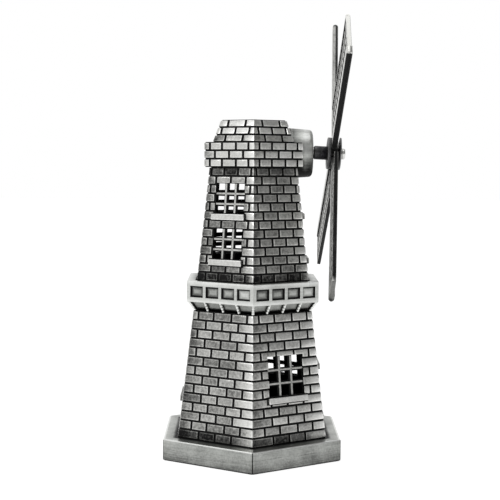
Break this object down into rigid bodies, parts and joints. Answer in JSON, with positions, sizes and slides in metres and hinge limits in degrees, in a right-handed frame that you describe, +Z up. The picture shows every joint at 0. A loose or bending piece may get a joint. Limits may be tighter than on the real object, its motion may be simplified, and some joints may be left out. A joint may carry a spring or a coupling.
{
  "type": "souvenir windmill figurine",
  "caption": "Hexagonal brick windmill in antique-plated cast metal, with a panelled gallery, barred windows and a lattice-sail rotor that spins on a pivot screw.",
  "frame": {"origin": "middle of the underside of the hexagonal base, on the tower's axis", "axes": "+Z up the tower, -Y towards the rotor, so the front of the mill faces -Y, +X to the right seen from the front"},
  "size_m": [0.1108, 0.0714, 0.1751],
  "materials": {
    "brick_casting": "satin antique pewter plate, dark patina in the joints",
    "brushed_casting": "brushed antique pewter plate",
    "sail_casting": "satin antique pewter plate, worn bright on the edges",
    "dark_casting": "blackened satin plate",
    "steel": "satin",
    "felt": "matte felt"
  },
  "bodies": {
    "tower": {"base_plate": "brushed_casting", "base_pad": "felt", "base_screws": "steel", "lower_wall_front": "brick_casting", "lower_wall_front_right": "brick_casting", "lower_wall_back_right": "brick_casting", "lower_wall_back": "brick_casting", "lower_wall_back_left": "brick_casting", "lower_wall_front_left": "brick_casting", "lower_window_front_right": "brick_casting", "lower_window_back": "brick_casting", "lower_window_front_left": "brick_casting", "front_door": "dark_casting", "gallery_front": "brushed_casting", "gallery_front_right": "brushed_casting", "gallery_back_right": "brushed_casting", "gallery_back": "brushed_casting", "gallery_back_left": "brushed_casting", "gallery_front_left": "brushed_casting", "upper_wall_front": "brick_casting", "upper_wall_front_right": "brick_casting", "upper_wall_back_right": "brick_casting", "upper_wall_back": "brick_casting", "upper_wall_back_left": "brick_casting", "upper_wall_front_left": "brick_casting", "upper_window_front_low": "brick_casting", "upper_window_front_high": "brick_casting", "upper_window_back_right_low": "brick_casting", "upper_window_back_right_high": "brick_casting", "upper_window_back_left_low": "brick_casting", "upper_window_back_left_high": "brick_casting", "cap_side_front": "brick_casting", "cap_side_front_right": "brick_casting", "cap_side_back_right": "brick_casting", "cap_side_back": "brick_casting", "cap_side_back_left": "brick_casting", "cap_side_front_left": "brick_casting", "cap_roof": "brick_casting", "axle_housing": "brushed_casting", "rear_washer": "steel", "front_washer": "steel", "pivot_screw": "steel", "pivot_nut": "steel"},
    "rotor": {"rotor_hub": "dark_casting", "sail_a": "sail_casting", "sail_b": "sail_casting", "sail_c": "sail_casting", "sail_d": "sail_casting", "hub_plate": "dark_casting"}
  },
  "joints": [
    {"name": "rotor_spin", "type": "hinge", "parent": "tower", "child": "rotor", "pos_m": [0, -0.0321, 0.11975], "axis": [-0.0139, -0.9989, -0.0454], "continuous": true}
  ]
}
